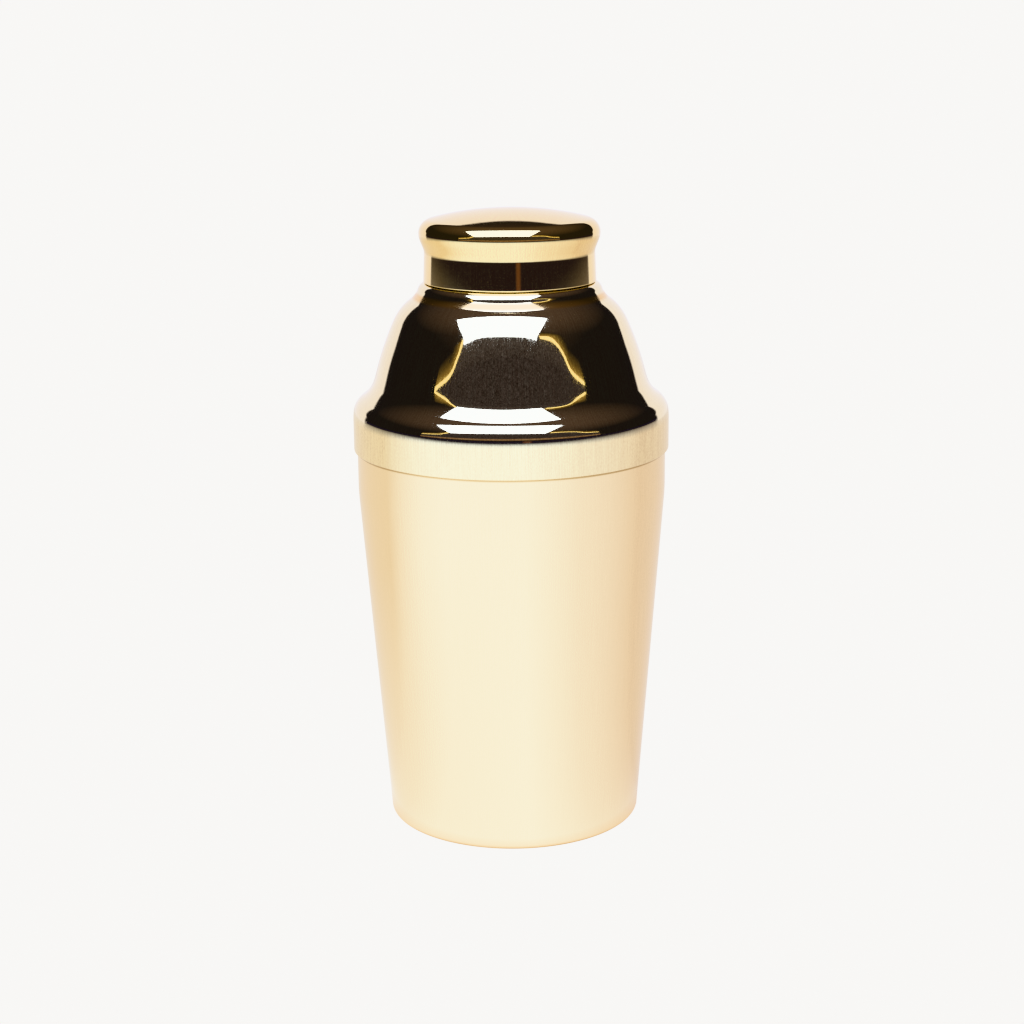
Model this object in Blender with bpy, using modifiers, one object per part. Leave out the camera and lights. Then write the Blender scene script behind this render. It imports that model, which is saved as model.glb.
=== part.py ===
"""Three-piece cocktail shaker: tapered cup, strainer top that slips over its mouth, and cap.

Every piece is drawn sheet metal, so each is one outline of tangent straights and bends,
given a sheet thickness and turned about the vertical axis. The cup stands on Z = 0.
"""

import math

import bmesh
import bpy
from mathutils import Matrix

MM = 0.001

# Driving dimensions
COLLAR_RADIUS = 46.0 * MM
SEAM_HEIGHT = 111.6 * MM
CAP_EDGE_HEIGHT = 160.1 * MM
SHEET = 0.7 * MM
CAP_SHEET = 0.6 * MM
FIT_GAP = 0.3 * MM

# Cup
CUP_TAPER = 4.5
CUP_FOOT_RADIUS = 35.8 * MM
CUP_CORNER_BEND = 1.5 * MM
CUP_MOUTH_RADIUS = COLLAR_RADIUS - SHEET - FIT_GAP
CUP_MOUTH_BEND = 60.0 * MM
CUP_RIM_HEIGHT = SEAM_HEIGHT + 10.4 * MM
RECESS_RADIUS = 25.0 * MM
RECESS_DEPTH = 1.2 * MM
RECESS_BEND = 1.6 * MM
RECESS_SLOPE = 35.0

# Strainer top: tilts are of the outward normal above the horizontal, in degrees
COLLAR_TOP = SEAM_HEIGHT + 8.7 * MM
COLLAR_ROLL_TILT = 6.0
COLLAR_ROLL_BEND = 22.0 * MM
SHOULDER_TILT = 55.5
SHOULDER_BEND = 5.6 * MM
COVE_TILT = 14.3
COVE_BEND = 9.7 * MM
FLANK_TILT = 24.7
FLANK_BEND = 98.0 * MM
DOME_TILT = 54.5
DOME_BEND = 15.0 * MM
NECK_CREASE_TILT = 17.7
NECK_CREASE_BEND = 6.0 * MM
NECK_BEAD_TILT = 84.0
NECK_BEAD_BEND = 2.7 * MM
NECK_FOOT_BEND = 0.65 * MM
NECK_RIM_HEIGHT = CAP_EDGE_HEIGHT + 11.4 * MM

# Strainer plate, a perforated dish pressed into the neck
PLATE_SHEET = 0.6 * MM
PLATE_HEIGHT = CAP_EDGE_HEIGHT + 0.6 * MM
PLATE_SAG_BEND = 150.0 * MM
PLATE_SAG_TILT = -82.0
PLATE_CORNER_BEND = 1.6 * MM
PLATE_FLANGE_HEIGHT = CAP_EDGE_HEIGHT + 4.6 * MM
HOLE_RADIUS = 1.6 * MM
HOLE_RINGS = 3
HOLE_RING_PITCH = 5.3 * MM
HOLES_IN_FIRST_RING = 6

# Cap
CAP_EDGE_RADIUS = 24.9 * MM
CAP_SKIRT_TILT = 2.2
CAP_SKIRT_LENGTH = 7.8 * MM
CAP_WAIST_TILT = -22.0
CAP_WAIST_BEND = 4.5 * MM
CAP_WAIST_LENGTH = 2.0 * MM
CAP_BULGE_BEND = 5.6 * MM
CAP_CORNER_TILT = 76.0
CAP_CORNER_BEND = 4.1 * MM

# Facets
TURN_STEPS = 48
BEND_STEP = 15.0
WIDE_BEND_STEP = 7.0
RIM_STEPS = 3
HOLE_SIDES = 10

GOLD = (0.93, 0.72, 0.40, 1.0)


class SheetOutline:
    """Outer face of a turned sheet, drawn upwards from its lower end.

    tilt is the outward normal's angle above the horizontal, in degrees: 0 is an upright
    wall, 90 a level top and -90 a level underside.
    """

    def __init__(self, radius, height, tilt):
        self.points = [(radius, height, math.radians(tilt))]

    def to_height(self, height):
        radius, start, tilt = self.points[-1]
        self.points.append((radius - (height - start) * math.tan(tilt), height, tilt))
        return self

    def to_radius(self, radius):
        start, height, tilt = self.points[-1]
        self.points.append((radius, height - (radius - start) / math.tan(tilt), tilt))
        return self

    def straight(self, length):
        radius, height, tilt = self.points[-1]
        radius -= length * math.sin(tilt)
        height += length * math.cos(tilt)
        self.points.append((radius, height, tilt))
        return self

    def bend(self, end_tilt, bend_radius, step=BEND_STEP):
        """Tangent arc: it bulges outwards where the tilt grows, and hollows where it falls."""
        radius, height, tilt = self.points[-1]
        end = math.radians(end_tilt)
        side = 1.0 if end > tilt else -1.0
        centre_radius = radius - side * bend_radius * math.cos(tilt)
        centre_height = height - side * bend_radius * math.sin(tilt)
        steps = max(1, math.ceil(abs(end - tilt) / math.radians(step)))
        for index in range(1, steps + 1):
            angle = tilt + (end - tilt) * index / steps
            self.points.append((
                centre_radius + side * bend_radius * math.cos(angle),
                centre_height + side * bend_radius * math.sin(angle),
                angle,
            ))
        return self


def inner_face(outline, thickness):
    return [
        (max(0.0, radius - thickness * math.cos(tilt)), height - thickness * math.sin(tilt))
        for radius, height, tilt in outline.points
    ]


def round_edge(outer, inner, outwards):
    """Half-round sheet edge from outer to inner, bulging along outwards."""
    middle = ((outer[0] + inner[0]) / 2, (outer[1] + inner[1]) / 2)
    arm = (outer[0] - middle[0], outer[1] - middle[1])
    size = math.hypot(*arm)
    points = []
    for index in range(1, RIM_STEPS):
        angle = math.pi * index / RIM_STEPS
        along = math.cos(angle)
        out = size * math.sin(angle)
        points.append((
            middle[0] + arm[0] * along + outwards[0] * out,
            middle[1] + arm[1] * along + outwards[1] * out,
        ))
    return points


def turned_sheet(outline, thickness):
    """Closed section of the sheet, running down its outer side and back up its inner side."""
    outer = [(radius, height) for radius, height, tilt in outline.points]
    inner = inner_face(outline, thickness)
    outer.reverse()
    section = list(outer)
    if outline.points[0][0] > 0.0:
        section += round_edge(outer[-1], inner[0], (0.0, -1.0))
    section += inner
    if outline.points[-1][0] > 0.0:
        section += round_edge(inner[-1], outer[0], (0.0, 1.0))
    return section


def gold_material(name, roughness):
    material = bpy.data.materials.new(name)
    material.use_nodes = True
    shader = material.node_tree.nodes["Principled BSDF"]
    shader.inputs["Base Color"].default_value = GOLD
    shader.inputs["Metallic"].default_value = 1.0
    shader.inputs["Roughness"].default_value = roughness
    return material


def add_turned(name, section, collection, roughness):
    """Turn a section about Z; it is a loop unless both of its ends lie on the axis."""
    on_axis = section[0][0] < 1e-6 or section[-1][0] < 1e-6
    edges = [(index, index + 1) for index in range(len(section) - 1)]
    if not on_axis:
        edges.append((len(section) - 1, 0))
    mesh = bpy.data.meshes.new(name)
    mesh.from_pydata([(radius, 0.0, height) for radius, height in section], edges, [])
    piece = bpy.data.objects.new(name, mesh)
    piece.data.materials.append(gold_material(name + "_gold", roughness))
    screw = piece.modifiers.new("turn", "SCREW")
    screw.axis = "Z"
    screw.steps = TURN_STEPS
    screw.render_steps = TURN_STEPS
    screw.use_merge_vertices = True
    screw.merge_threshold = 1e-5
    screw.use_smooth_shade = True
    collection.objects.link(piece)
    return piece


def build_cup(collection):
    recess_curl = RECESS_BEND * (1.0 - math.cos(math.radians(RECESS_SLOPE)))
    outline = SheetOutline(0.0, RECESS_DEPTH, -90.0)
    outline.to_radius(RECESS_RADIUS)
    outline.bend(-90.0 - RECESS_SLOPE, RECESS_BEND, step=RECESS_SLOPE)
    outline.to_height(recess_curl)
    outline.bend(-90.0, RECESS_BEND, step=RECESS_SLOPE)
    outline.to_radius(CUP_FOOT_RADIUS)
    outline.bend(-CUP_TAPER, CUP_CORNER_BEND, step=30.0)
    taper = math.radians(CUP_TAPER)
    bend_radius_gain = CUP_MOUTH_BEND * (1.0 - math.cos(taper))
    outline.to_radius(CUP_MOUTH_RADIUS - bend_radius_gain)
    outline.bend(0.0, CUP_MOUTH_BEND, step=2.5)
    outline.to_height(CUP_RIM_HEIGHT - SHEET / 2)
    return add_turned("cup", turned_sheet(outline, SHEET), collection, 0.12)


def build_strainer_top(collection):
    outline = SheetOutline(COLLAR_RADIUS, SEAM_HEIGHT + SHEET / 2, 0.0)
    outline.to_height(COLLAR_TOP)
    outline.bend(COLLAR_ROLL_TILT, COLLAR_ROLL_BEND)
    outline.bend(SHOULDER_TILT, SHOULDER_BEND)
    outline.bend(COVE_TILT, COVE_BEND, step=10.0)
    outline.bend(FLANK_TILT, FLANK_BEND, step=WIDE_BEND_STEP)
    outline.bend(DOME_TILT, DOME_BEND, step=9.0)
    outline.bend(NECK_CREASE_TILT, NECK_CREASE_BEND)
    outline.bend(NECK_BEAD_TILT, NECK_BEAD_BEND)
    outline.bend(0.0, NECK_FOOT_BEND, step=25.0)
    outline.to_height(NECK_RIM_HEIGHT - SHEET / 2)
    return add_turned("strainer_top", turned_sheet(outline, SHEET), collection, 0.10)


def neck_outer_radius(strainer_top):
    """Radius of the neck's wall, read from the highest points of the turned section."""
    rim = max(vertex.co.z for vertex in strainer_top.data.vertices)
    near_rim = [v.co.x for v in strainer_top.data.vertices if v.co.z > rim - SHEET]
    return max(near_rim)


def hole_cutter(collection):
    """One cutter made of every hole's cylinder: a middle hole and rings around it."""
    places = [(0.0, 0.0)]
    for ring in range(1, HOLE_RINGS + 1):
        count = HOLES_IN_FIRST_RING * ring
        for index in range(count):
            angle = 2.0 * math.pi * index / count
            reach = HOLE_RING_PITCH * ring
            places.append((reach * math.cos(angle), reach * math.sin(angle)))
    shape = bmesh.new()
    for x, y in places:
        bmesh.ops.create_cone(
            shape,
            cap_ends=True,
            segments=HOLE_SIDES,
            radius1=HOLE_RADIUS,
            radius2=HOLE_RADIUS,
            depth=12.0 * MM,
            matrix=Matrix.Translation((x, y, PLATE_HEIGHT)),
        )
    mesh = bpy.data.meshes.new("strainer_holes")
    shape.to_mesh(mesh)
    shape.free()
    cutter = bpy.data.objects.new("strainer_holes", mesh)
    cutter.hide_render = True
    cutter.display_type = "WIRE"
    collection.objects.link(cutter)
    return cutter


def build_strainer_plate(collection, cutters, neck_radius):
    flange_radius = neck_radius - SHEET - FIT_GAP
    outline = SheetOutline(0.0, PLATE_HEIGHT, -90.0)
    outline.bend(PLATE_SAG_TILT, PLATE_SAG_BEND, step=4.0)
    corner_reach = PLATE_CORNER_BEND * (1.0 - math.cos(math.radians(PLATE_SAG_TILT)))
    outline.to_radius(flange_radius - corner_reach)
    outline.bend(0.0, PLATE_CORNER_BEND, step=30.0)
    outline.to_height(PLATE_FLANGE_HEIGHT - PLATE_SHEET / 2)
    section = turned_sheet(outline, PLATE_SHEET)
    plate = add_turned("strainer_plate", section, collection, 0.25)
    cut = plate.modifiers.new("holes", "BOOLEAN")
    cut.operation = "DIFFERENCE"
    cut.object = hole_cutter(cutters)
    return plate


def build_cap(collection):
    outline = SheetOutline(CAP_EDGE_RADIUS, CAP_EDGE_HEIGHT + CAP_SHEET / 2, CAP_SKIRT_TILT)
    outline.straight(CAP_SKIRT_LENGTH)
    outline.bend(CAP_WAIST_TILT, CAP_WAIST_BEND, step=9.5)
    outline.straight(CAP_WAIST_LENGTH)
    outline.bend(0.0, CAP_BULGE_BEND)
    outline.bend(CAP_CORNER_TILT, CAP_CORNER_BEND)
    crown_reach = outline.points[-1][0]
    crown_bend = crown_reach / math.cos(math.radians(CAP_CORNER_TILT))
    outline.bend(90.0, crown_bend, step=WIDE_BEND_STEP)
    radius, height, tilt = outline.points.pop()
    outline.points.append((0.0, height, tilt))
    return add_turned("cap", turned_sheet(outline, CAP_SHEET), collection, 0.08)


def main():
    for old in list(bpy.data.objects):
        bpy.data.objects.remove(old, do_unlink=True)
    shaker = bpy.data.collections.new("Cocktail_Shaker")
    cutters = bpy.data.collections.new("Cutters")
    bpy.context.scene.collection.children.link(shaker)
    bpy.context.scene.collection.children.link(cutters)

    cup = build_cup(shaker)
    strainer_top = build_strainer_top(shaker)
    plate = build_strainer_plate(shaker, cutters, neck_outer_radius(strainer_top))
    cap = build_cap(shaker)
    strainer_top.parent = cup
    plate.parent = strainer_top
    cap.parent = strainer_top


main()
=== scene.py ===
"""Looks of a cobbler cocktail shaker: finely turned sheet-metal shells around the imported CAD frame.

Every shell is one outline of tangent straights and bends, given the sheet's thickness and
turned about the vertical axis. Heights and radii that other pieces meet are read from the
CAD nodes' boxes, and the bends in between are named below. The studio is a pale floor and a
set of lit cards that show only in the metal's reflections.
"""

import math

import bmesh
import bpy
from mathutils import Euler, Matrix, Vector


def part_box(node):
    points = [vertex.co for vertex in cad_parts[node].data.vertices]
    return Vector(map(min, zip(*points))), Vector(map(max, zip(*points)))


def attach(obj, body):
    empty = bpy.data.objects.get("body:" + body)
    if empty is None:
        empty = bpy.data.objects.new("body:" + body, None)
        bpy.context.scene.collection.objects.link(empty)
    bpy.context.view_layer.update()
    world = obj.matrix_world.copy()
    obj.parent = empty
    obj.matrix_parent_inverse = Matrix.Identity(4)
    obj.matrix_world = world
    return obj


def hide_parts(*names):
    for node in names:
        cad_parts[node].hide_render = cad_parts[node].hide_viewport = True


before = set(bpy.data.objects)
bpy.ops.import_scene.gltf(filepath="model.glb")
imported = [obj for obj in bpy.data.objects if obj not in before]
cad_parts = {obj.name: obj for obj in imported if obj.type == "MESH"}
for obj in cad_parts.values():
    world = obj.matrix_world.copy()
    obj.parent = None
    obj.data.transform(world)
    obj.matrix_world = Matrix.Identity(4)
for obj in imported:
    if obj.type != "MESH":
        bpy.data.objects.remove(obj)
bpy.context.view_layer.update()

MM = 0.001
MICRON = 1e-6

# Sheet metal
SHEET = 0.7 * MM
CAP_SHEET = 0.6 * MM
PLATE_SHEET = 0.6 * MM

# In the shapes below a tilt is the outward normal's angle above the horizontal, in degrees,
# and a bend is the radius of a sheet's outer face.

# Cup
CUP_TAPER = 4.5
CUP_FOOT_RADIUS = 35.8 * MM
CUP_CORNER_BEND = 1.5 * MM
CUP_MOUTH_BEND = 60.0 * MM
RECESS_RADIUS = 25.0 * MM
RECESS_DEPTH = 1.2 * MM
RECESS_BEND = 1.6 * MM
RECESS_SLOPE = 35.0

# Strainer top, from the collar up to the neck
COLLAR_LENGTH = 8.7 * MM
COLLAR_ROLL_TILT = 6.0
COLLAR_ROLL_BEND = 22.0 * MM
SHOULDER_TILT = 55.5
SHOULDER_BEND = 5.6 * MM
COVE_TILT = 19.0
COVE_BEND = 9.7 * MM
FLANK_FOOT_TILT = 14.3
FLANK_FOOT_BEND = 35.0 * MM
FLANK_TILT = 24.7
FLANK_BEND = 86.6 * MM
DOME_TILT = 54.5
DOME_BEND = 15.0 * MM
NECK_CREASE_TILT = 17.7
NECK_CREASE_BEND = 6.0 * MM
NECK_BEAD_TILT = 84.0
NECK_BEAD_BEND = 2.7 * MM
NECK_FOOT_BEND = 0.65 * MM

# The crease below the neck's bead, above the collar's lower edge
CREASE_RISE = 44.8 * MM

# Strainer plate
PLATE_SAG_BEND = 150.0 * MM
PLATE_SAG_TILT = -82.0
PLATE_CORNER_BEND = 1.6 * MM
HOLE_RADIUS = 1.6 * MM
HOLE_RINGS = 3
HOLE_RING_PITCH = 5.3 * MM
HOLES_IN_FIRST_RING = 6
HOLE_SIDES = 28
HOLE_CUT_DEPTH = 12.0 * MM
HOLE_EDGE_ANGLE = 35.0

# Cap
CAP_EDGE_RADIUS = 24.9 * MM
CAP_SKIRT_TILT = 2.2
CAP_SKIRT_LENGTH = 7.77 * MM
CAP_WAIST_TILT = -22.0
CAP_WAIST_BEND = 4.5 * MM
CAP_WAIST_LENGTH = 2.0 * MM
CAP_BULGE_BEND = 5.6 * MM
CAP_CORNER_TILT = 76.0
CAP_CORNER_BEND = 4.1 * MM

# Facets. The steps of bends are in degrees.
TURN_STEPS = 256
CORNER_STEP = 6.0
BEND_STEP = 3.0
SOFT_BEND_STEP = 1.5
WIDE_BEND_STEP = 1.0
FINE_BEND_STEP = 0.5
STRAIGHT_STEP = 4.0 * MM
END_RING = 0.08 * MM
RIM_STEPS = 8
MERGE_DISTANCE = 1e-6

# Metal colours
GOLD = (0.95, 0.77, 0.48, 1.0)
DEEP_GOLD = (1.0, 0.73, 0.35, 1.0)
SATIN_GOLD = (0.90, 0.70, 0.40, 1.0)
# Painted shade: the tan of the shadowed gap where the collar's lower edge meets the cup.
SEAM_PAINTED_SHADE = (0.52, 0.36, 0.17, 1.0)
# Painted reflection: amber in the crease below the neck, which turns the highlight there golden as a
# double reflection would.
CREASE_PAINTED_REFLECTION = (0.90, 0.60, 0.26, 1.0)
# Painted shadow: the dark contact line along the cup's foot.
FOOT_PAINTED_SHADOW = (0.34, 0.22, 0.10, 1.0)

# Marks on the metal, each a noise's scale and detail. Those on the walls repeat per radian of
# turn and per metre of height.
STREAKS = ((140.0, 55.0, 1.0), 4.0)
HAIRS = ((420.0, 130.0, 1.0), 2.0)
SCRATCHES = ((230.0, 70.0, 1.0), 2.0)
RIDGES = ((0.6, 1100.0, 1.0), 1.0)

# Polishing rings repeat per metre from the axis, the other marks per metre each way
RINGS = ((1600.0, 1.0, 1.0), 2.0)
PEEL = ((420.0, 420.0, 420.0), 2.0)
SPECKLE = ((2600.0, 2600.0, 1500.0), 1.0)
SMUDGES = ((38.0, 38.0, 26.0), 4.0)

# The stretch of each noise that goes from nothing to full
NOISE_MIDDLE = (0.3, 0.7)
GRAIN_SPAN = (0.38, 0.62)
SMUDGE_SPAN = (0.45, 0.75)
SCRATCH_SPAN = (0.42, 0.72)
SPECKLE_SPAN = (0.35, 0.65)

# How level a face is where the walls' marks give way to the polishing rings
WALL_TO_LEVEL = (0.75, 0.92)

STREAK_SHARE, HAIR_SHARE, SPECKLE_SHARE = 0.35, 0.35, 0.3
GRAIN_LIFT = 0.7
SMUDGE_ROUGHENING = 1.7
SCRATCH_FLOOR = 0.2
# Lines of painted shade: the share of the half-width that is fully tinted, and how far the smudges
# move the edge.
PAINTED_LINE_CORE = 0.2
PAINTED_LINE_WANDER = 0.6

# Studio, in metres from the foot of the shaker. Light colours are radiances.
WHITE = (1.0, 1.0, 1.0)
PALE = (1.504, 1.489, 1.460, 1.0)
FLOOR_REACH = 40.0
ROOM_REACH = 3.0
ROOM_LOW = (0.034, 0.036, 0.052)
ROOM_HIGH = (0.122, 0.102, 0.118)
ROOM_BRIGHTENING = (0.5 * ROOM_REACH, 0.95 * ROOM_REACH)
ROOM_SEGMENTS, ROOM_RINGS = 48, 24

# Light on the floor. Angles are about the shaker from the camera's side, + to the right;
# the shares run from the side light, 0, to the front light, 1.
FLOOR_LEFT = (0.98, 0.92, 0.86)
FLOOR_RIGHT = (0.89, 0.81, 0.80)
FLOOR_FRONT = (1.74, 1.94, 2.29)
FAR_SHARES = [
    (-101, 0.0), (-67, 0.80), (-48, 1.0), (8, 1.0), (47, 0.42), (74, 0.25), (104, 0.0),
]
NEAR_SHARES = [
    (-180, 0.0), (-135, 0.12), (-106, 0.22), (-74, 0.42), (-45, 0.80), (8, 1.0), (47, 0.45),
    (74, 0.24), (104, 0.0),
]
NEAR_REACH, FAR_REACH = 0.05, 0.25
FLOOR_BRIGHT_REACH = 0.62
FLOOR_DARK_REACH = 2.4
FAR_FLOOR_TINT = (0.90, 0.94, 1.02)
FAR_TINT_RATE = 5.0
FAR_FLOOR_DARK = (0.040, 0.041, 0.078)
SKIRTING_HEIGHT = 0.16
FOOT_SHADE = (0.90, 0.74, 0.55)
FOOT_SHADE_REACH = 0.0365
FOOT_LIT_REACH = 0.042
FLOOR_LIGHT_DEPTH = 0.0005
FLOOR_LIGHT_RADII = [
    0.0, 0.034, FOOT_SHADE_REACH, 0.040, 0.044, NEAR_REACH, 0.08, 0.12, 0.18, FAR_REACH, 0.40,
]
FAR_FLOOR_STEPS = 12
FLOOR_TURN_STEP = 3

# White wall behind the shaker. Its outline pairs a height with the half-angle it spans there.
WALL_WHITE = (1.14, 1.13, 1.28)
WALL_DISTANCE = 1.2
WALL_OUTLINE = [
    (0.0, 50.0), (0.30, 49.0), (0.40, 44.0), (0.50, 40.5), (0.60, 36.0), (0.68, 31.0),
    (0.75, 24.0), (0.80, 14.0),
]
WALL_FADE = 3.0
WALL_CROWN = 0.04
WALL_STEPS = 12

SOFTBOX_COLOR = (0.82, 1.0, 1.55)
SOFTBOX_CENTRE = (-0.135, -0.331, 0.930)
SOFTBOX_SIZE = (1.03, 0.772)
SOFTBOX_PITCH = 33.7
SOFTBOX_YAW = -4.3
SOFTBOX_RADIANCE = 5.0

# A grey woven cloth hangs below the softbox, with a lit golden hem down each side. The hems
# are paths of (x, height), and their ripple adds waves of a strength, a pace and a start.
CLOTH_DISTANCE = 0.69
CLOTH_SETBACK = 0.01
CLOTH_TOP = (0.102, 0.099, 0.130)
CLOTH_MIDDLE = (0.066, 0.065, 0.091)
CLOTH_FOOT = (0.26, 0.19, 0.165)
CLOTH_FOOT_HEIGHTS = (0.30, 0.27, 0.20, 0.165)
CLOTH_ROWS, CLOTH_COLUMNS = 8, 32
WEAVE = ((120.0, 1.0, 160.0), 2.0)
WEAVE_DARKEST, WEAVE_BRIGHTEST = 0.1, 2.2
LEFT_HEM = [
    (-0.82, 0.86), (-0.835, 0.74), (-0.88, 0.66), (-0.93, 0.59), (-1.10, 0.555), (-1.62, 0.55),
]
RIGHT_HEM = [
    (0.42, 0.77), (0.65, 0.80), (0.81, 0.765), (0.89, 0.695), (0.96, 0.615), (1.11, 0.58),
    (1.52, 0.575),
]
HEM_STEPS = 12
HEM_COLOR = (2.1, 1.80, 0.93)
HEM_WIDTH = 0.046
HEM_RIPPLE = 0.006
HEM_RIPPLE_RISE = 0.3
HEM_WAVES = [(1.0, 1.9, 0.0), (0.6, 3.1, 1.0)]
HEM_GLOW = (0.52, 0.37, 0.17)
HEM_GLOW_SETBACK = 0.005
HEM_GLOW_WIDTH = 0.28
HEM_GLOW_FALL = [(0.0, 1.0), (0.2, 0.55), (0.5, 0.2), (1.0, 0.0)]

# A warm upright strip in front of the shaker. Its shape pairs a share of the half-angle with
# a share of the colour.
STRIP_COLOR = (0.155, 0.092, 0.095)
STRIP_DISTANCE = 2.3
STRIP_TURN = 11.0
STRIP_HALF_ANGLE = 4.0
STRIP_HEIGHT = 0.16
STRIP_SHAPE = [(-1.0, 0.0), (-0.3, 1.0), (0.3, 1.0), (1.0, 0.0)]

# Camera
CAMERA_LENS = 72.0
CAMERA_SENSOR = 36.0
CAMERA_RANGE = (0.01, 100.0)
CAMERA_DISTANCE = 0.5872
CAMERA_HEIGHT = 0.2395
CAMERA_PITCH = 14.15
CAMERA_ROLL = 0.54


# Turned sheet


class SheetOutline:
    """Outer face of a turned sheet, drawn upwards from its lower end.

    Its tilt is 0 on an upright wall, 90 on a level top and -90 on a level underside.
    """

    def __init__(self, radius, height, tilt):
        self.points = [(radius, height, math.radians(tilt))]

    def _line_to(self, radius, height):
        """Straight run, with a ring close to each end so that the wall between shades flat."""
        start_radius, start_height, tilt = self.points[-1]
        length = math.hypot(radius - start_radius, height - start_height)
        steps = max(1, math.ceil(length / STRAIGHT_STEP))
        near = min(END_RING, length / 4) / length
        for share in [near] + [index / steps for index in range(1, steps)] + [1.0 - near, 1.0]:
            self.points.append((
                start_radius + (radius - start_radius) * share,
                start_height + (height - start_height) * share,
                tilt,
            ))

    def to_height(self, height):
        radius, start, tilt = self.points[-1]
        self._line_to(radius - (height - start) * math.tan(tilt), height)

    def to_radius(self, radius):
        start, height, tilt = self.points[-1]
        self._line_to(radius, height - (radius - start) / math.tan(tilt))

    def straight(self, length):
        radius, height, tilt = self.points[-1]
        self._line_to(radius - length * math.sin(tilt), height + length * math.cos(tilt))

    def bend(self, end_tilt, bend_radius, step=BEND_STEP):
        """Tangent arc: it bulges outwards where the tilt grows, and hollows where it falls."""
        radius, height, tilt = self.points[-1]
        end = math.radians(end_tilt)
        side = 1.0 if end > tilt else -1.0
        centre_radius = radius - side * bend_radius * math.cos(tilt)
        centre_height = height - side * bend_radius * math.sin(tilt)
        steps = max(1, math.ceil(abs(end - tilt) / math.radians(step)))
        for index in range(1, steps + 1):
            angle = tilt + (end - tilt) * index / steps
            self.points.append((
                centre_radius + side * bend_radius * math.cos(angle),
                centre_height + side * bend_radius * math.sin(angle),
                angle,
            ))


def round_edge(outer, inner, outwards):
    """Half-round sheet edge from outer to inner, bulging along outwards."""
    middle = ((outer[0] + inner[0]) / 2, (outer[1] + inner[1]) / 2)
    arm = (outer[0] - middle[0], outer[1] - middle[1])
    size = math.hypot(*arm)
    points = []
    for index in range(1, RIM_STEPS):
        angle = math.pi * index / RIM_STEPS
        along = math.cos(angle)
        out = size * math.sin(angle)
        points.append((
            middle[0] + arm[0] * along + outwards[0] * out,
            middle[1] + arm[1] * along + outwards[1] * out,
        ))
    return points


def turned_sheet(outline, thickness):
    """Section of the sheet, running down its outer side and back up its inner side."""
    outer = [(radius, height) for radius, height, _ in reversed(outline.points)]
    inner = [
        (max(0.0, radius - thickness * math.cos(tilt)), height - thickness * math.sin(tilt))
        for radius, height, tilt in outline.points
    ]
    section = list(outer)
    if outline.points[0][0] > 0.0:
        section += round_edge(outer[-1], inner[0], (0.0, -1.0))
    section += inner
    if outline.points[-1][0] > 0.0:
        section += round_edge(inner[-1], outer[0], (0.0, 1.0))
    return section


def add_object(name, data):
    made = bpy.data.objects.new(name, data)
    bpy.context.scene.collection.objects.link(made)
    return made


def apply_modifiers(piece):
    """Replaces the piece's mesh by its evaluated one."""
    graph = bpy.context.evaluated_depsgraph_get()
    old = piece.data
    mesh = bpy.data.meshes.new_from_object(piece.evaluated_get(graph), depsgraph=graph)
    piece.modifiers.clear()
    piece.data = mesh
    bpy.data.meshes.remove(old)
    mesh.name = piece.name


def mark_inside(mesh):
    """Keeps a share at each point: 1 where the sheet faces the axis, 0 where it faces away."""
    kept = mesh.attributes.new("inside", "FLOAT", "POINT")
    for index, vertex in enumerate(mesh.vertices):
        facing = vertex.co.x * vertex.normal.x + vertex.co.y * vertex.normal.y
        kept.data[index].value = 1.0 if facing < 0.0 else 0.0


def add_turned(name, section):
    """Turns a section about Z. It is closed into a loop, less the edge that lies on the axis."""
    edges = []
    for index, (radius, _) in enumerate(section):
        following = (index + 1) % len(section)
        if max(radius, section[following][0]) > MERGE_DISTANCE:
            edges.append((index, following))
    mesh = bpy.data.meshes.new(name)
    mesh.from_pydata([(radius, 0.0, height) for radius, height in section], edges, [])
    piece = add_object(name, mesh)
    screw = piece.modifiers.new("turn", "SCREW")
    screw.axis = "Z"
    screw.steps = TURN_STEPS
    screw.render_steps = TURN_STEPS
    screw.use_merge_vertices = True
    screw.merge_threshold = MERGE_DISTANCE
    screw.use_smooth_shade = True
    apply_modifiers(piece)
    mark_inside(piece.data)
    return piece


def place(piece, node, body, material):
    """The piece stands for its CAD node, moves with its body and takes the node's finish."""
    piece.data.materials.clear()
    piece.data.materials.append(material)
    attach(piece, body)
    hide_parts(node)


# Pieces


def build_cup(material):
    low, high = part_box("cup")
    recess_curl = RECESS_BEND * (1.0 - math.cos(math.radians(RECESS_SLOPE)))
    mouth_gain = CUP_MOUTH_BEND * (1.0 - math.cos(math.radians(CUP_TAPER)))
    outline = SheetOutline(0.0, low.z + RECESS_DEPTH, -90.0)
    outline.to_radius(RECESS_RADIUS)
    outline.bend(-90.0 - RECESS_SLOPE, RECESS_BEND)
    outline.to_height(low.z + recess_curl)
    outline.bend(-90.0, RECESS_BEND)
    outline.to_radius(CUP_FOOT_RADIUS)
    outline.bend(-CUP_TAPER, CUP_CORNER_BEND)
    outline.to_radius(high.x - mouth_gain)
    outline.bend(0.0, CUP_MOUTH_BEND, step=WIDE_BEND_STEP)
    outline.to_height(high.z - SHEET / 2)
    cup = add_turned("cup_shell", turned_sheet(outline, SHEET))
    place(cup, "cup", "cup", material)


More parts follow.
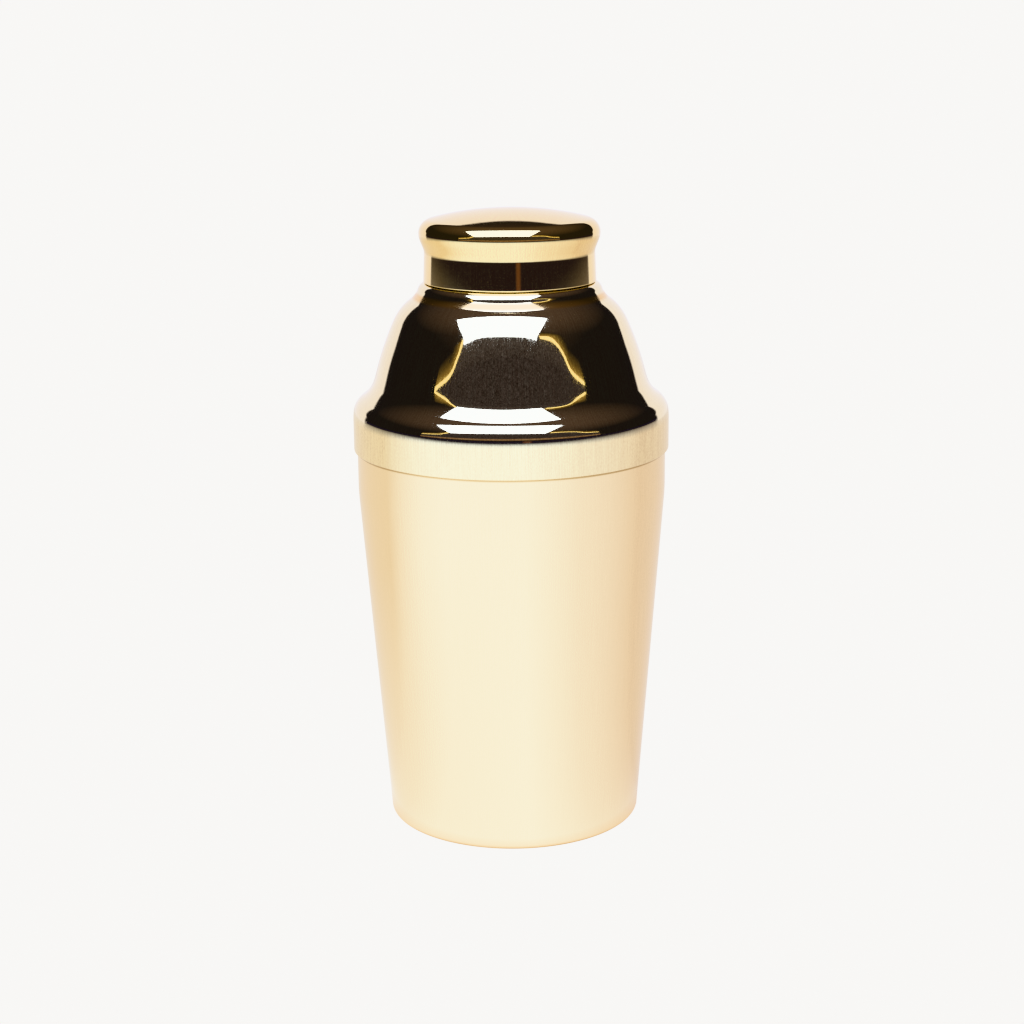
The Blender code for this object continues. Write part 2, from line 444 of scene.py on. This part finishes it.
def build_strainer_top(material):
    low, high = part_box("strainer_top")
    outline = SheetOutline(high.x, low.z + SHEET / 2, 0.0)
    outline.to_height(low.z + COLLAR_LENGTH)
    outline.bend(COLLAR_ROLL_TILT, COLLAR_ROLL_BEND, step=FINE_BEND_STEP)
    outline.bend(SHOULDER_TILT, SHOULDER_BEND)
    outline.bend(COVE_TILT, COVE_BEND, step=SOFT_BEND_STEP)
    outline.bend(FLANK_FOOT_TILT, FLANK_FOOT_BEND, step=FINE_BEND_STEP)
    outline.bend(FLANK_TILT, FLANK_BEND, step=FINE_BEND_STEP)
    outline.bend(DOME_TILT, DOME_BEND, step=SOFT_BEND_STEP)
    outline.bend(NECK_CREASE_TILT, NECK_CREASE_BEND)
    outline.bend(NECK_BEAD_TILT, NECK_BEAD_BEND)
    outline.bend(0.0, NECK_FOOT_BEND)
    outline.to_height(high.z - SHEET / 2)
    top = add_turned("strainer_top_shell", turned_sheet(outline, SHEET))
    place(top, "strainer_top", "strainer_top", material)


def hole_cutter(height):
    """One cutter made of every hole's cylinder: a middle hole and rings around it."""
    places = [(0.0, 0.0)]
    for ring in range(1, HOLE_RINGS + 1):
        count = HOLES_IN_FIRST_RING * ring
        reach = HOLE_RING_PITCH * ring
        for index in range(count):
            angle = 2.0 * math.pi * index / count
            places.append((reach * math.cos(angle), reach * math.sin(angle)))
    shape = bmesh.new()
    for x, y in places:
        bmesh.ops.create_cone(
            shape,
            cap_ends=True,
            segments=HOLE_SIDES,
            radius1=HOLE_RADIUS,
            radius2=HOLE_RADIUS,
            depth=HOLE_CUT_DEPTH,
            matrix=Matrix.Translation((x, y, height)),
        )
    mesh = bpy.data.meshes.new("strainer_holes")
    shape.to_mesh(mesh)
    shape.free()
    return add_object("strainer_holes", mesh)


def build_strainer_plate(material):
    low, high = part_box("strainer_plate")
    corner_reach = PLATE_CORNER_BEND * (1.0 - math.cos(math.radians(PLATE_SAG_TILT)))
    outline = SheetOutline(0.0, low.z, -90.0)
    outline.bend(PLATE_SAG_TILT, PLATE_SAG_BEND, step=WIDE_BEND_STEP)
    outline.to_radius(high.x - corner_reach)
    outline.bend(0.0, PLATE_CORNER_BEND, step=CORNER_STEP)
    outline.to_height(high.z - PLATE_SHEET / 2)
    plate = add_turned("strainer_plate_disc", turned_sheet(outline, PLATE_SHEET))
    cutter = hole_cutter(low.z)
    cut = plate.modifiers.new("holes", "BOOLEAN")
    cut.operation = "DIFFERENCE"
    cut.object = cutter
    apply_modifiers(plate)
    bpy.data.objects.remove(cutter, do_unlink=True)
    plate.data.shade_smooth()
    plate.data.set_sharp_from_angle(angle=math.radians(HOLE_EDGE_ANGLE))
    place(plate, "strainer_plate", "strainer_top", material)


def build_cap(material):
    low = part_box("cap")[0]
    outline = SheetOutline(CAP_EDGE_RADIUS, low.z + CAP_SHEET / 2, CAP_SKIRT_TILT)
    outline.straight(CAP_SKIRT_LENGTH)
    outline.bend(CAP_WAIST_TILT, CAP_WAIST_BEND, step=SOFT_BEND_STEP)
    outline.straight(CAP_WAIST_LENGTH)
    outline.bend(0.0, CAP_BULGE_BEND)
    outline.bend(CAP_CORNER_TILT, CAP_CORNER_BEND)
    crown_bend = outline.points[-1][0] / math.cos(math.radians(CAP_CORNER_TILT))
    outline.bend(90.0, crown_bend, step=WIDE_BEND_STEP)
    _, height, tilt = outline.points.pop()
    outline.points.append((0.0, height, tilt))
    cap = add_turned("cap_shell", turned_sheet(outline, CAP_SHEET))
    place(cap, "cap", "cap", material)


# Material nodes


def new_material(name):
    material = bpy.data.materials.new(name)
    material.use_nodes = True
    return material, material.node_tree


def noise(tree, vector, scale, detail):
    """Noise with its own scale along each of the vector's parts."""
    mapping = tree.nodes.new("ShaderNodeMapping")
    mapping.inputs["Scale"].default_value = scale
    texture = tree.nodes.new("ShaderNodeTexNoise")
    texture.inputs["Scale"].default_value = 1.0
    texture.inputs["Detail"].default_value = detail
    tree.links.new(vector, mapping.inputs["Vector"])
    tree.links.new(mapping.outputs["Vector"], texture.inputs["Vector"])
    return texture.outputs["Fac"]


def spread(tree, value, low, high, span=NOISE_MIDDLE):
    """Goes from low to high over a span of the value, and stays level beyond it."""
    mapped = tree.nodes.new("ShaderNodeMapRange")
    mapped.inputs["From Min"].default_value = span[0]
    mapped.inputs["From Max"].default_value = span[1]
    mapped.inputs["To Min"].default_value = low
    mapped.inputs["To Max"].default_value = high
    tree.links.new(value, mapped.inputs["Value"])
    return mapped.outputs["Result"]


def calculate(tree, operation, first, second):
    """Math node on two sockets, or on a socket and a number."""
    step = tree.nodes.new("ShaderNodeMath")
    step.operation = operation
    for socket, value in zip(step.inputs, (first, second)):
        if isinstance(value, (int, float)):
            socket.default_value = value
        else:
            tree.links.new(value, socket)
    return step.outputs["Value"]


def tinted(tree, share, first, second):
    """Goes from the first colour, at a share of 0, to the second."""
    mix = tree.nodes.new("ShaderNodeMix")
    mix.data_type = "RGBA"
    for socket, value in ((mix.inputs["A"], first), (mix.inputs["B"], second)):
        if isinstance(value, tuple):
            socket.default_value = value
        else:
            tree.links.new(value, socket)
    tree.links.new(share, mix.inputs["Factor"])
    return mix.outputs["Result"]


def bumped(tree, height, distance, normal=None):
    """Relief of a given depth, on top of another one if there is a normal."""
    bump = tree.nodes.new("ShaderNodeBump")
    bump.inputs["Strength"].default_value = 1.0
    bump.inputs["Distance"].default_value = distance
    tree.links.new(height, bump.inputs["Height"])
    if normal is not None:
        tree.links.new(normal, bump.inputs["Normal"])
    return bump.outputs["Normal"]


# Gold plate


class GoldSurface:
    """What the finish of a turned piece is worked out from, at a point of its surface.

    turned is (turn about Z, height, 0), reach the distance from Z, and level how far the face
    is from upright. inside is 1 on the face towards the axis.
    """

    def __init__(self, tree):
        self.tree = tree
        coordinates = tree.nodes.new("ShaderNodeTexCoord")
        point = coordinates.outputs["Object"]
        x, y, self.height = self._parts(point)
        self.level = calculate(tree, "ABSOLUTE", self._parts(coordinates.outputs["Normal"])[2], 0.0)
        turned = self._vector(calculate(tree, "ARCTAN2", x, y), self.height)
        squares = [calculate(tree, "MULTIPLY", part, part) for part in (x, y)]
        reach = calculate(tree, "POWER", calculate(tree, "ADD", *squares), 0.5)

        self.streaks = noise(tree, turned, *STREAKS)
        self.hairs = noise(tree, turned, *HAIRS)
        self.scratches = noise(tree, turned, *SCRATCHES)
        self.ridges = noise(tree, turned, *RIDGES)
        self.rings = noise(tree, self._vector(reach), *RINGS)
        self.peel = noise(tree, point, *PEEL)
        self.speckle = noise(tree, point, *SPECKLE)
        self.smudges = noise(tree, point, *SMUDGES)

        inside = tree.nodes.new("ShaderNodeAttribute")
        inside.attribute_name = "inside"
        self.inside = inside.outputs["Fac"]

    def _parts(self, vector):
        split = self.tree.nodes.new("ShaderNodeSeparateXYZ")
        self.tree.links.new(vector, split.inputs["Vector"])
        return [split.outputs[axis] for axis in "XYZ"]

    def _vector(self, *parts):
        joined = self.tree.nodes.new("ShaderNodeCombineXYZ")
        for part, axis in zip(parts, "XYZ"):
            self.tree.links.new(part, joined.inputs[axis])
        return joined.outputs["Vector"]

    def tone(self, color, grain):
        """Base colour, lightened and darkened by the drawing streaks."""
        light = tuple(min(1.0, channel * (1.0 + GRAIN_LIFT * grain)) for channel in color[:3])
        dark = tuple(channel * (1.0 - grain) for channel in color[:3])
        lines = calculate(
            self.tree,
            "ADD",
            calculate(self.tree, "MULTIPLY", self.streaks, STREAK_SHARE),
            calculate(self.tree, "MULTIPLY", self.hairs, HAIR_SHARE),
        )
        specks = calculate(self.tree, "MULTIPLY", self.speckle, SPECKLE_SHARE)
        lines = calculate(self.tree, "ADD", lines, specks)
        share = spread(self.tree, lines, 0.0, 1.0, GRAIN_SPAN)
        return tinted(self.tree, share, (*dark, 1.0), (*light, 1.0))

    def roughness(self, polished, inside_roughness, scratch):
        """Polished metal under smudges and broken scratches, and a satin inner face."""
        film = spread(self.tree, self.smudges, polished, polished * SMUDGE_ROUGHENING, SMUDGE_SPAN)
        scratches = spread(self.tree, self.scratches, 0.0, 1.0, SCRATCH_SPAN)
        specks = spread(self.tree, self.speckle, SCRATCH_FLOOR, 1.0, SPECKLE_SPAN)
        scratches = calculate(self.tree, "MULTIPLY", scratches, specks)
        scratches = calculate(self.tree, "MULTIPLY", scratches, scratch)
        satin = calculate(self.tree, "MULTIPLY", self.inside, inside_roughness)
        return calculate(self.tree, "ADD", calculate(self.tree, "ADD", film, scratches), satin)

    def painted_shade_share(self, line_height, half_width):
        """Share of a line of painted shade around the outside, with a wandering edge."""
        away = calculate(self.tree, "SUBTRACT", self.height, line_height)
        away = calculate(self.tree, "ABSOLUTE", away, 0.0)
        wander = calculate(self.tree, "MULTIPLY", self.smudges, PAINTED_LINE_WANDER * half_width)
        away = calculate(self.tree, "SUBTRACT", away, wander)
        painted_shade = spread(self.tree, away, 1.0, 0.0, (PAINTED_LINE_CORE * half_width, half_width))
        outside = calculate(self.tree, "SUBTRACT", 1.0, self.inside)
        return calculate(self.tree, "MULTIPLY", painted_shade, outside)

    def relief(self, draw_depth, ridge_depth, peel_depth):
        """Orange peel all over, streaks and ridges on the walls, rings on the level faces."""
        wall = spread(self.tree, self.level, 1.0, 0.0, WALL_TO_LEVEL)
        top = spread(self.tree, self.level, 0.0, 1.0, WALL_TO_LEVEL)
        normal = bumped(self.tree, self.peel, peel_depth)
        for marks, share, depth in (
            (self.streaks, wall, draw_depth),
            (self.ridges, wall, ridge_depth),
            (self.rings, top, draw_depth),
        ):
            normal = bumped(self.tree, calculate(self.tree, "MULTIPLY", marks, share), depth, normal)
        return normal


def gold_material(
    name, color, roughness, inside_roughness, draw_depth, ridge_depth, peel_depth, grain, scratch,
    painted_shade_lines,
):
    """Gold plate on drawn sheet.

    Drawing streaks run up the walls and polishing rings round the level faces, over a faint
    orange peel. grain is how far the streaks lighten and darken the metal, scratch how rough
    its hairline scratches are, and inside_roughness how much rougher the sheet's inner face is.
    The last argument lists the lines of painted shade and painted reflection, each a height,
    half-width, colour and added roughness.
    """
    material, tree = new_material(name)
    surface = GoldSurface(tree)
    tone = surface.tone(color, grain)
    rough = surface.roughness(roughness, inside_roughness, scratch)
    # Painted shade and painted reflection lines, each tinting the tone and adding roughness.
    for line_height, half_width, line_color, line_roughness in painted_shade_lines:
        painted_shade = surface.painted_shade_share(line_height, half_width)
        tone = tinted(tree, painted_shade, tone, line_color)
        haze = calculate(tree, "MULTIPLY", painted_shade, line_roughness)
        rough = calculate(tree, "ADD", rough, haze)
    normal = surface.relief(draw_depth, ridge_depth, peel_depth)

    shader = tree.nodes["Principled BSDF"]
    shader.inputs["Metallic"].default_value = 1.0
    tree.links.new(tone, shader.inputs["Base Color"])
    tree.links.new(rough, shader.inputs["Roughness"])
    tree.links.new(normal, shader.inputs["Normal"])
    return material


def cup_gold():
    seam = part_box("strainer_top")[0].z
    return gold_material(
        "cup_gold_plate",
        GOLD,
        roughness=0.045,
        inside_roughness=0.30,
        draw_depth=0.5 * MICRON,
        ridge_depth=0.5 * MICRON,
        peel_depth=1.8 * MICRON,
        grain=0.06,
        scratch=0.10,
        painted_shade_lines=[
            # Painted shade in the gap just below the collar's edge.
            (seam - 0.2 * MM, 0.45 * MM, SEAM_PAINTED_SHADE, 0.10),
            # Painted contact shadow along the foot.
            (0.0, 0.85 * MM, FOOT_PAINTED_SHADOW, 0.20),
        ],
    )


def strainer_top_gold():
    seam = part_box("strainer_top")[0].z
    return gold_material(
        "strainer_top_gold_plate",
        GOLD,
        roughness=0.030,
        inside_roughness=0.25,
        draw_depth=0.3 * MICRON,
        ridge_depth=0.4 * MICRON,
        peel_depth=1.2 * MICRON,
        grain=0.18,
        scratch=0.09,
        painted_shade_lines=[
            # Painted shade along the collar's lower edge, over the gap.
            (seam, 0.25 * MM, SEAM_PAINTED_SHADE, 0.10),
            # Painted golden reflection in the crease below the neck's bead.
            (seam + CREASE_RISE, 0.85 * MM, CREASE_PAINTED_REFLECTION, 0.09),
        ],
    )


def strainer_plate_gold():
    return gold_material(
        "strainer_plate_gold_plate",
        SATIN_GOLD,
        roughness=0.14,
        inside_roughness=0.0,
        draw_depth=1.5 * MICRON,
        ridge_depth=1.0 * MICRON,
        peel_depth=4.0 * MICRON,
        grain=0.12,
        scratch=0.2,
        painted_shade_lines=[],
    )


def cap_gold():
    return gold_material(
        "cap_gold_plate",
        DEEP_GOLD,
        roughness=0.03,
        inside_roughness=0.25,
        draw_depth=0.6 * MICRON,
        ridge_depth=0.5 * MICRON,
        peel_depth=1.5 * MICRON,
        grain=0.12,
        scratch=0.06,
        painted_shade_lines=[],
    )


# Studio


def add_stage(name, mesh, material, seen_by_camera=False):
    """A floor or card of the studio. Cards show only in the metal's reflections."""
    mesh.materials.append(material)
    card = add_object(name, mesh)
    card.visible_camera = seen_by_camera
    card.visible_glossy = not seen_by_camera
    card.visible_diffuse = not seen_by_camera
    card.visible_shadow = False


def glowing_material(name):
    """A material that only gives off light, and the node that does."""
    material, tree = new_material(name)
    tree.nodes.clear()
    emission = tree.nodes.new("ShaderNodeEmission")
    output = tree.nodes.new("ShaderNodeOutputMaterial")
    tree.links.new(emission.outputs["Emission"], output.inputs["Surface"])
    return material, tree, emission


def build_floor():
    ends = (-FLOOR_REACH, FLOOR_REACH)
    corners = [(x, y, 0.0) for y in ends for x in ends]
    mesh = bpy.data.meshes.new("floor")
    mesh.from_pydata(corners, [], [(0, 1, 3, 2)])
    material, _, emission = glowing_material("pale_floor")
    emission.inputs["Color"].default_value = PALE
    add_stage("floor", mesh, material, seen_by_camera=True)


def card_material(name, woven=False):
    """Gives off the radiance that is kept at the card's points, mottled on a woven card."""
    material, tree, emission = glowing_material(name)
    radiance = tree.nodes.new("ShaderNodeAttribute")
    radiance.attribute_name = "radiance"
    tree.links.new(radiance.outputs["Color"], emission.inputs["Color"])
    if woven:
        coordinates = tree.nodes.new("ShaderNodeTexCoord")
        threads = noise(tree, coordinates.outputs["Object"], *WEAVE)
        mottle = spread(tree, threads, WEAVE_DARKEST, WEAVE_BRIGHTEST)
        tree.links.new(mottle, emission.inputs["Strength"])
    return material


def mixed(first, second, share):
    return tuple(a + (b - a) * share for a, b in zip(first, second))


def ramp(value, low, high):
    """0 up to low, 1 from high, and an even slope between them."""
    return min(1.0, max(0.0, (value - low) / (high - low)))


def light_card(name, rows, material):
    """A grid of (point, radiance) pairs, one list for each row."""
    count = len(rows[0])
    faces = [
        (start, start + 1, start + count + 1, start + count)
        for row in range(len(rows) - 1)
        for start in range(row * count, (row + 1) * count - 1)
    ]
    pairs = [pair for row in rows for pair in row]
    mesh = bpy.data.meshes.new(name)
    mesh.from_pydata([point for point, _ in pairs], [], faces)
    kept = mesh.attributes.new("radiance", "FLOAT_COLOR", "POINT")
    for index, (_, radiance) in enumerate(pairs):
        kept.data[index].color = (*radiance, 1.0)
    add_stage(name, mesh, material)


def around(radius, angle, height):
    """Point at an angle in degrees about the shaker's axis, from the camera's side."""
    turn = math.radians(angle)
    return (radius * math.sin(turn), -radius * math.cos(turn), height)


def share_at(angle, shares):
    """Share at an angle, read off straight lines between the named ones."""
    if angle <= shares[0][0]:
        return shares[0][1]
    for (start, low), (end, high) in zip(shares, shares[1:]):
        if angle <= end:
            return low + (high - low) * (angle - start) / (end - start)
    return shares[-1][1]


def floor_radiance(radius, angle):
    """Side light and front light near the shaker, a dark floor or the wall's foot far from it."""
    far = ramp(radius, NEAR_REACH, FAR_REACH)
    front = share_at(angle, NEAR_SHARES) * (1.0 - far) + share_at(angle, FAR_SHARES) * far
    side = mixed(FLOOR_LEFT, FLOOR_RIGHT, 0.5 + 0.5 * math.sin(math.radians(angle)))
    lit = mixed(side, FLOOR_FRONT, front)
    distant = ramp(radius, FLOOR_BRIGHT_REACH, FLOOR_DARK_REACH)
    shade = mixed(FOOT_SHADE, WHITE, ramp(radius, FOOT_SHADE_REACH, FOOT_LIT_REACH))
    tint = mixed(WHITE, FAR_FLOOR_TINT, min(1.0, FAR_TINT_RATE * distant))
    lit = tuple(channel * dim * hue for channel, dim, hue in zip(lit, shade, tint))
    wall_edge = 180.0 - WALL_OUTLINE[0][1]
    behind = ramp(abs(angle), wall_edge - WALL_FADE, wall_edge)
    far_color = mixed(FAR_FLOOR_DARK, WALL_WHITE, behind)
    return mixed(lit, far_color, 1.0 - (1.0 - distant) ** 2)


def build_floor_light(material):
    """The floor's light as the metal sees it, with a dark skirting at its far edge."""
    far_width = FLOOR_DARK_REACH - FLOOR_BRIGHT_REACH
    radii = list(FLOOR_LIGHT_RADII)
    for step in range(FAR_FLOOR_STEPS + 1):
        radii.append(FLOOR_BRIGHT_REACH + far_width * step / FAR_FLOOR_STEPS)
    angles = range(-180, 181, FLOOR_TURN_STEP)
    rows = []
    for radius in radii:
        rows.append([
            (around(radius, angle, -FLOOR_LIGHT_DEPTH), floor_radiance(radius, angle))
            for angle in angles
        ])
    rows.append([
        (around(FLOOR_DARK_REACH, angle, SKIRTING_HEIGHT), FAR_FLOOR_DARK) for angle in angles
    ])
    light_card("floor_light", rows, material)


def build_wall(material):
    """White wall behind the shaker, which lights the grazing edges of the metal."""
    rows = []
    for height, half_angle in WALL_OUTLINE:
        row = [(around(WALL_DISTANCE, 180.0 - half_angle - WALL_FADE, height), FAR_FLOOR_DARK)]
        for step in range(-WALL_STEPS, WALL_STEPS + 1):
            turn = 180.0 + half_angle * step / WALL_STEPS
            row.append((around(WALL_DISTANCE, turn, height), WALL_WHITE))
        row.append((around(WALL_DISTANCE, 180.0 + half_angle + WALL_FADE, height), FAR_FLOOR_DARK))
        rows.append(row)
    rows.append([((x, y, top + WALL_CROWN), ROOM_LOW) for (x, y, top), _ in rows[-1]])
    light_card("wall", rows, material)


def build_strip(material):
    rows = []
    for height in (0.0, STRIP_HEIGHT):
        rows.append([
            (
                around(STRIP_DISTANCE, STRIP_TURN + offset * STRIP_HALF_ANGLE, height),
                mixed(FAR_FLOOR_DARK, STRIP_COLOR, share),
            )
            for offset, share in STRIP_SHAPE
        ])
    light_card("warm_strip", rows, material)


def smooth_path(corners, steps):
    """Points of a soft curve through the corners."""
    points = []
    last = len(corners) - 1
    for index in range(last):
        before, start = Vector(corners[max(0, index - 1)]), Vector(corners[index])
        end, after = Vector(corners[index + 1]), Vector(corners[min(last, index + 2)])
        leave, arrive = (end - before) / 2, (after - start) / 2
        for step in range(steps):
            share = step / steps
            points.append(
                start * (2 * share**3 - 3 * share**2 + 1)
                + leave * (share**3 - 2 * share**2 + share)
                + end * (3 * share**2 - 2 * share**3)
                + arrive * (share**3 - share**2)
            )
    points.append(Vector(corners[last]))
    return points


def ribbon(name, path, distance, bands, material):
    """Upright ribbon along a path; each band is an offset to the path's left and a radiance."""
    rows = []
    for offset, radiance in bands:
        row = []
        for index, point in enumerate(path):
            along = path[min(index + 1, len(path) - 1)] - path[max(index - 1, 0)]
            placed = point + Vector((-along.y, along.x)).normalized() * offset
            row.append(((placed.x, -distance, placed.y), radiance))
        rows.append(row)
    light_card(name, rows, material)


def build_cloth(material, left, right):
    """Grey cloth between its two hems, with a brown foot below it."""
    rows = []
    for drop in range(CLOTH_ROWS + 1):
        share = drop / CLOTH_ROWS
        color = mixed(CLOTH_TOP, CLOTH_MIDDLE, share)
        left_end = left[round(share * (len(left) - 1))]
        right_end = right[round(share * (len(right) - 1))]
        row = []
        for step in range(CLOTH_COLUMNS + 1):
            point = left_end.lerp(right_end, step / CLOTH_COLUMNS)
            row.append(((point.x, -CLOTH_DISTANCE - CLOTH_SETBACK, point.y), color))
        rows.append(row)
    lowest = rows[-1]
    foot_colors = (CLOTH_MIDDLE, CLOTH_FOOT, CLOTH_FOOT, ROOM_LOW)
    for height, color in zip(CLOTH_FOOT_HEIGHTS, foot_colors):
        rows.append([((x, y, height), color) for (x, y, _), _ in lowest])
    light_card("grey_cloth", rows, material)


def build_hem(name, path, outwards, material):
    """Rippled golden hem with a glow beside it: on its left if outwards is -1, on its right if 1."""
    rippled = []
    for index, point in enumerate(path):
        waves = [strength * math.sin(pace * index + start) for strength, pace, start in HEM_WAVES]
        ripple = HEM_RIPPLE * sum(waves)
        rippled.append(point + Vector((ripple, HEM_RIPPLE_RISE * ripple)))
    half = HEM_WIDTH / 2
    ribbon(name, rippled, CLOTH_DISTANCE, ((-half, HEM_COLOR), (half, HEM_COLOR)), material)
    glow = [
        (outwards * share * HEM_GLOW_WIDTH, mixed(ROOM_LOW, HEM_GLOW, strength))
        for share, strength in HEM_GLOW_FALL
    ]
    ribbon(name + "_glow", path, CLOTH_DISTANCE + HEM_GLOW_SETBACK, glow, material)


def build_room():
    """Dim room around the set, a little brighter overhead than at eye level."""
    material, tree, emission = glowing_material("dim_room")
    coordinates = tree.nodes.new("ShaderNodeTexCoord")
    split = tree.nodes.new("ShaderNodeSeparateXYZ")
    tree.links.new(coordinates.outputs["Object"], split.inputs["Vector"])
    rise = spread(tree, split.outputs["Z"], 0.0, 1.0, ROOM_BRIGHTENING)
    tone = tinted(tree, rise, (*ROOM_LOW, 1.0), (*ROOM_HIGH, 1.0))
    tree.links.new(tone, emission.inputs["Color"])
    shell = bmesh.new()
    bmesh.ops.create_uvsphere(
        shell, u_segments=ROOM_SEGMENTS, v_segments=ROOM_RINGS, radius=ROOM_REACH
    )
    mesh = bpy.data.meshes.new("room")
    shell.to_mesh(mesh)
    shell.free()
    add_stage("room", mesh, material)


def build_softbox():
    light = bpy.data.lights.new("softbox", "AREA")
    light.shape = "RECTANGLE"
    light.size, light.size_y = SOFTBOX_SIZE
    light.energy = SOFTBOX_RADIANCE * math.pi * SOFTBOX_SIZE[0] * SOFTBOX_SIZE[1]
    light.color = SOFTBOX_COLOR
    softbox = add_object("softbox", light)
    softbox.location = SOFTBOX_CENTRE
    softbox.rotation_euler = (math.radians(SOFTBOX_PITCH), 0.0, math.radians(SOFTBOX_YAW))
    softbox.visible_camera = False


def build_camera():
    data = bpy.data.cameras.new("camera")
    data.lens = CAMERA_LENS
    data.sensor_width = CAMERA_SENSOR
    data.clip_start, data.clip_end = CAMERA_RANGE
    camera = add_object("camera", data)
    facing = Euler((math.radians(90.0 - CAMERA_PITCH), 0.0, 0.0)).to_matrix()
    roll = Matrix.Rotation(math.radians(-CAMERA_ROLL), 3, "Z")
    camera.rotation_euler = (facing @ roll).to_euler()
    camera.location = (0.0, -CAMERA_DISTANCE, CAMERA_HEIGHT)
    bpy.context.scene.camera = camera


def build_world():
    world = bpy.data.worlds.new("studio")
    bpy.context.scene.world = world
    world.use_nodes = True
    background = world.node_tree.nodes["Background"]
    background.inputs["Color"].default_value = PALE
    bpy.context.scene.view_settings.view_transform = "Khronos PBR Neutral"


def build_studio():
    build_camera()
    build_world()
    build_floor()
    lit_card = card_material("lit_card")
    build_floor_light(lit_card)
    build_wall(lit_card)
    left, right = smooth_path(LEFT_HEM, HEM_STEPS), smooth_path(RIGHT_HEM, HEM_STEPS)
    build_cloth(card_material("woven_card", woven=True), left, right)
    build_hem("left_hem", left, -1.0, lit_card)
    build_hem("right_hem", right, 1.0, lit_card)
    build_strip(lit_card)
    build_room()
    build_softbox()


build_studio()
build_cup(cup_gold())
build_strainer_top(strainer_top_gold())
build_strainer_plate(strainer_plate_gold())
build_cap(cap_gold())
